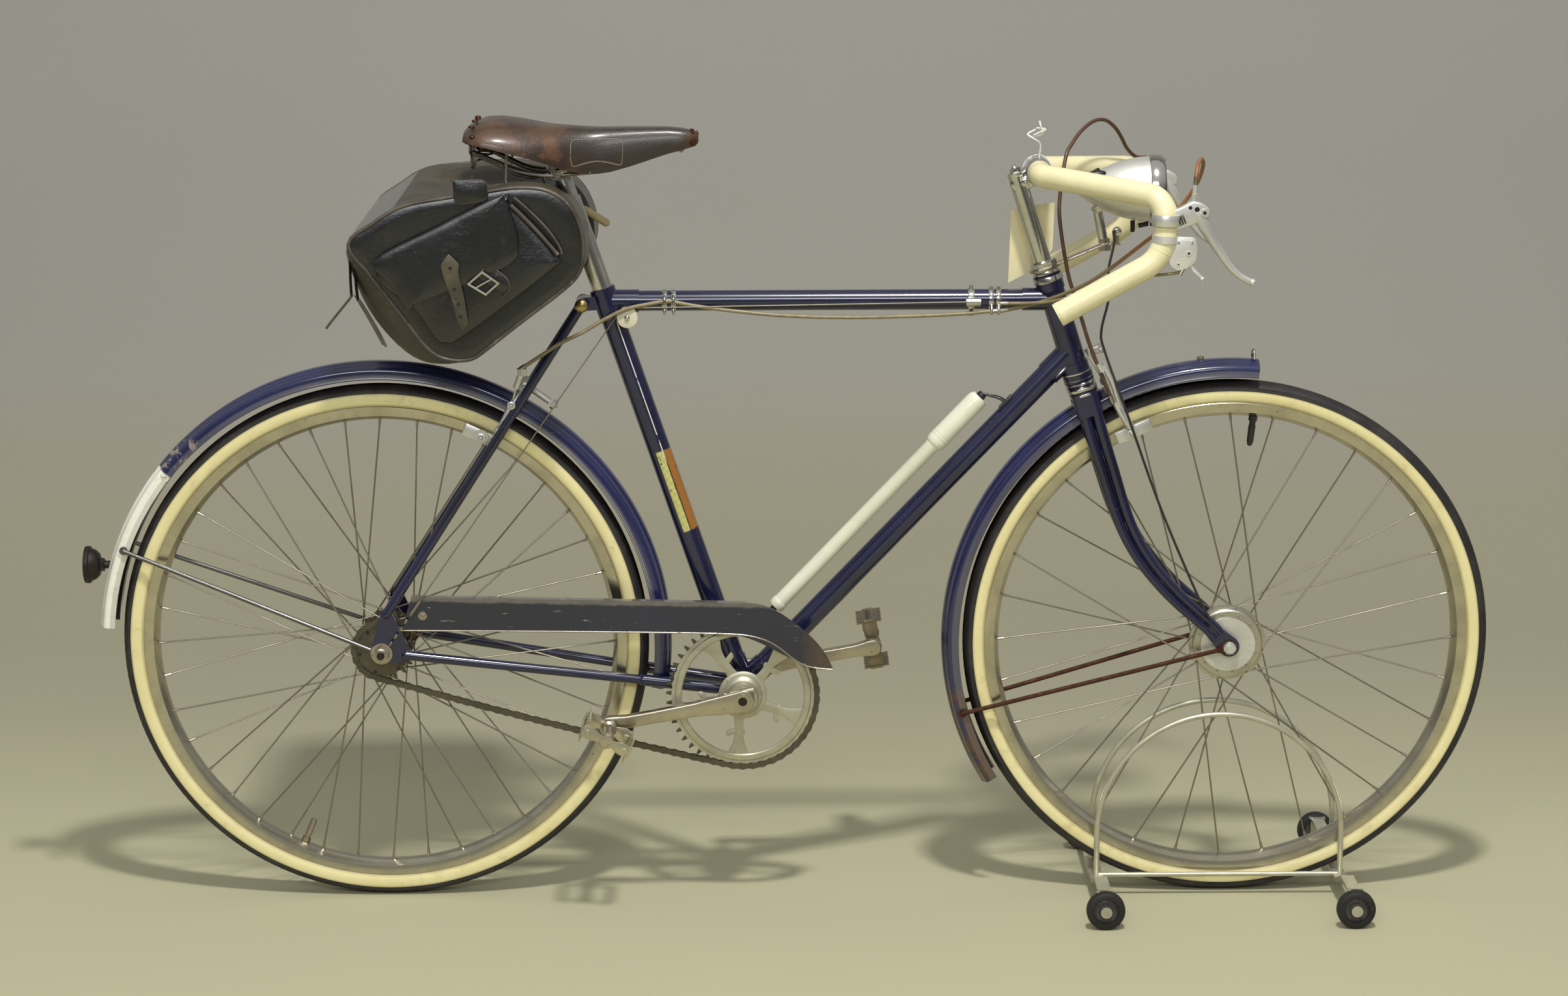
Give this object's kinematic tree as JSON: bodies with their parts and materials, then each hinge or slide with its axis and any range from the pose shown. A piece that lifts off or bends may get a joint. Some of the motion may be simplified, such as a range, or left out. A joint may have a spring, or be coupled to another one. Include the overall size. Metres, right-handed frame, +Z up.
{
  "type": "lightweight bicycle",
  "caption": "Old lightweight bicycle with dropped bars, mudguards, saddle bag, pump and lamp; its front wheel stands in a hooped display stand on castors.",
  "frame": {"origin": "centre of the bounding box at floor level", "axes": "+X forward, towards the front wheel; +Y to the rider's left; +Z up"},
  "size_m": [1.7645, 0.3582, 0.997],
  "materials": {
    "alloy": "satin",
    "bag_hide": "satin",
    "bar_cover": "satin",
    "bright_chrome": "polished",
    "cable_sheath": "matt",
    "castor_rubber": "matt",
    "chain_steel": "oiled",
    "frame_enamel": "gloss",
    "guard_enamel": "gloss",
    "pump_plastic": "gloss",
    "red_lens": "gloss",
    "rusty_steel": "matt",
    "saddle_hide": "satin",
    "tyre_rubber": "matt",
    "worn_chrome": "worn",
    "zinc_steel": "satin"
  },
  "bodies": {
    "root": {"fork": "frame_enamel", "headset_nuts": "bright_chrome", "stem": "bright_chrome", "handlebar": "bar_cover", "brake_lever_left": "alloy", "brake_lever_right": "alloy", "gear_trigger": "bright_chrome", "headlamp": "bright_chrome", "lamp_bracket": "rusty_steel", "front_mudguard": "guard_enamel", "front_guard_stays": "rusty_steel", "front_spindle": "alloy", "front_brake": "alloy", "front_brake_cable": "cable_sheath", "rear_brake_cable_front": "cable_sheath", "gear_cable_front": "cable_sheath", "stand": "zinc_steel"},
    "frame": {"head_tube": "frame_enamel", "top_tube": "frame_enamel", "down_tube": "frame_enamel", "seat_tube": "frame_enamel", "bracket_shell": "frame_enamel", "chain_stays": "frame_enamel", "seat_stays": "frame_enamel", "rear_spindle": "worn_chrome", "rear_mudguard": "guard_enamel", "rear_guard_stays": "rusty_steel", "reflector": "red_lens", "chain_guard": "guard_enamel", "chain": "chain_steel", "seat_post": "bright_chrome", "saddle_frame": "rusty_steel", "saddle_leather": "saddle_hide", "saddle_bag": "bag_hide", "pump": "pump_plastic", "pump_pegs": "bright_chrome", "rear_brake": "alloy", "rear_brake_cable": "cable_sheath"},
    "front_wheel": {"front_wheel": "worn_chrome", "front_tyre": "tyre_rubber"},
    "rear_wheel": {"rear_wheel": "worn_chrome", "rear_tyre": "tyre_rubber"},
    "crank": {"chainwheel": "worn_chrome", "crank_right": "worn_chrome", "crank_left": "worn_chrome"},
    "pedal_right": {"pedal_right": "worn_chrome"},
    "pedal_left": {"pedal_left": "worn_chrome"},
    "sprocket": {"sprocket": "chain_steel"},
    "castor_back_left": {"castor_back_left": "castor_rubber"},
    "castor_back_right": {"castor_back_right": "castor_rubber"},
    "castor_front_left": {"castor_front_left": "castor_rubber"},
    "castor_front_right": {"castor_front_right": "castor_rubber"}
  },
  "joints": [
    {"name": "steering", "type": "hinge", "parent": "root", "child": "frame", "pos_m": [0.47497, 0, 0.30694], "axis": [-0.3007, 0, 0.9537], "range_deg": [-60, 60], "deforming": ["rear_brake_cable_front", "gear_cable_front"]},
    {"name": "front_wheel_spin", "type": "hinge", "parent": "root", "child": "front_wheel", "pos_m": [0.55127, 0, 0.331], "axis": [0, 1, 0], "continuous": true},
    {"name": "rear_wheel_spin", "type": "hinge", "parent": "frame", "child": "rear_wheel", "pos_m": [-0.50674, 0, 0.331], "axis": [0, 1, 0], "continuous": true},
    {"name": "crank_spin", "type": "hinge", "parent": "frame", "child": "crank", "pos_m": [-0.05724, 0, 0.271], "axis": [0, 1, 0], "continuous": true},
    {"name": "pedal_right_spin", "type": "hinge", "parent": "crank", "child": "pedal_right", "pos_m": [-0.2245, 0, 0.2406], "axis": [0, 1, 0], "continuous": true},
    {"name": "pedal_left_spin", "type": "hinge", "parent": "crank", "child": "pedal_left", "pos_m": [0.11002, 0, 0.3014], "axis": [0, 1, 0], "continuous": true},
    {"name": "sprocket_spin", "type": "hinge", "parent": "frame", "child": "sprocket", "pos_m": [-0.50674, 0, 0.331], "axis": [0, 1, 0], "continuous": true},
    {"name": "castor_back_right_spin", "type": "hinge", "parent": "root", "child": "castor_back_right", "pos_m": [0.39126, 0, 0.024], "axis": [0, 1, 0], "continuous": true},
    {"name": "castor_back_left_spin", "type": "hinge", "parent": "root", "child": "castor_back_left", "pos_m": [0.39126, 0, 0.024], "axis": [0, 1, 0], "continuous": true},
    {"name": "castor_front_right_spin", "type": "hinge", "parent": "root", "child": "castor_front_right", "pos_m": [0.70127, 0, 0.024], "axis": [0, 1, 0], "continuous": true},
    {"name": "castor_front_left_spin", "type": "hinge", "parent": "root", "child": "castor_front_left", "pos_m": [0.70127, 0, 0.024], "axis": [0, 1, 0], "continuous": true}
  ],
  "couplings": [
    {"joint": "sprocket_spin", "follows": "crank_spin", "ratio": 2.5556}
  ]
}
